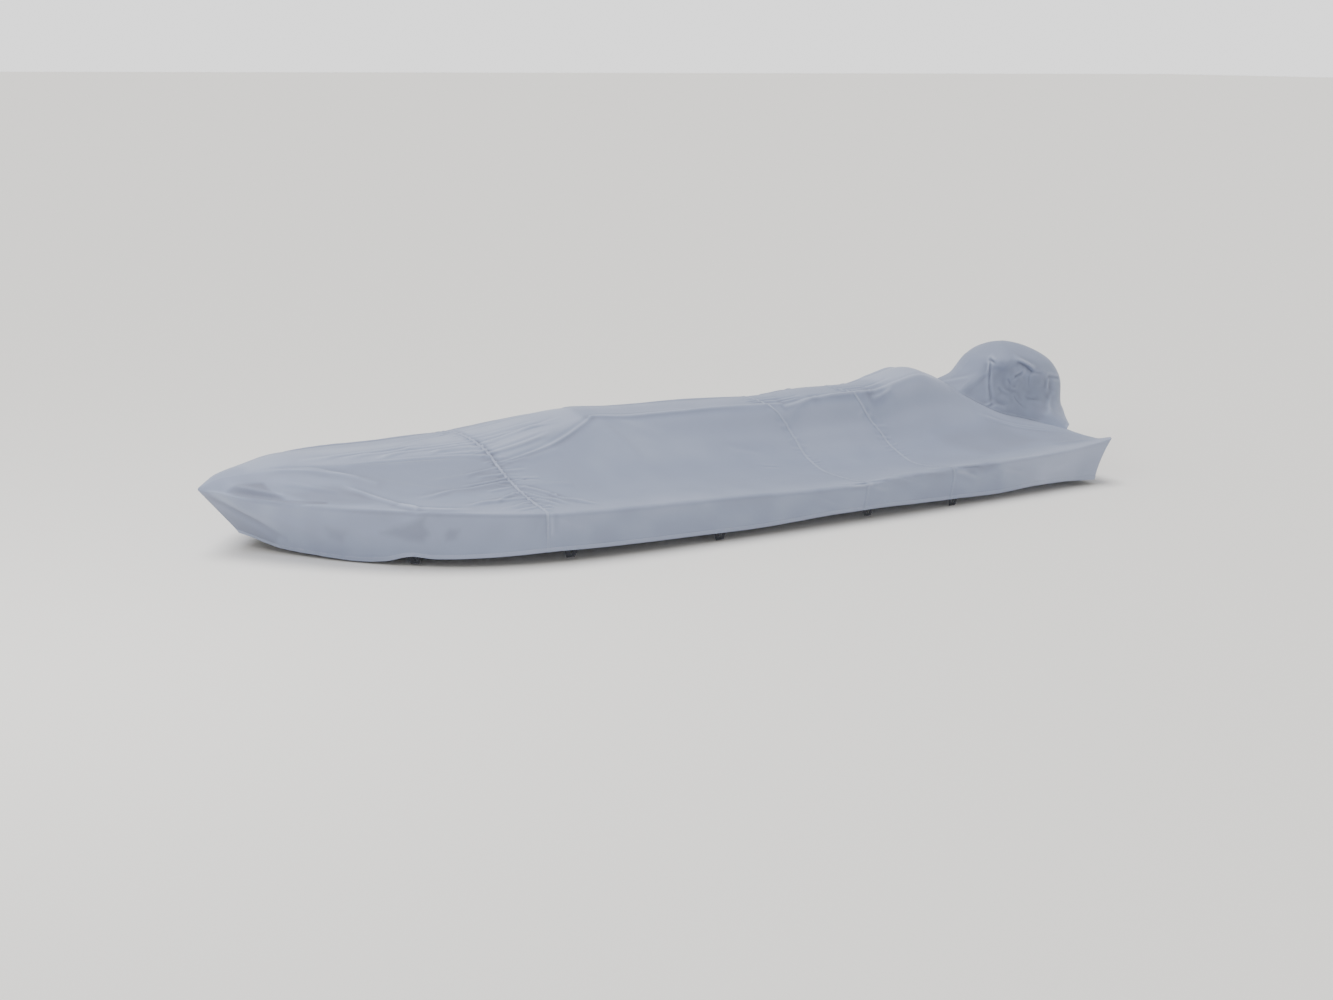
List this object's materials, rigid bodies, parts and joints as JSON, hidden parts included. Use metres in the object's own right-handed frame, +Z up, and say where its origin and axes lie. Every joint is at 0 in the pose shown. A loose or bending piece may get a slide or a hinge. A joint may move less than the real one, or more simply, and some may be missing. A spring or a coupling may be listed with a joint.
{
  "type": "boat cover",
  "caption": "Fitted grey boat cover in its draped shape: cross panels with a ridge, a short skirt with webbing loops under the hem, and a domed hood at the stern.",
  "frame": {"origin": "on the underside of the cloth at the crown of the ridge, on the middle line near mid-length, where the cover is held up", "axes": "+X aft along the middle line, from bow to stern; +Y to starboard; +Z up"},
  "size_m": [5.1737, 1.9476, 0.6913],
  "materials": {
    "cloth": "matte coated polyester weave",
    "webbing": "matte dark webbing"
  },
  "bodies": {
    "root": {"panel_bow": "cloth", "panel_fore": "cloth", "panel_mid": "cloth", "panel_stern": "cloth", "stern_hood": "cloth", "loop_port_1": "webbing", "loop_port_2": "webbing", "loop_port_3": "webbing", "loop_port_4": "webbing", "loop_port_5": "webbing", "loop_starboard_1": "webbing", "loop_starboard_2": "webbing", "loop_starboard_3": "webbing", "loop_starboard_4": "webbing", "loop_starboard_5": "webbing"}
  },
  "joints": []
}
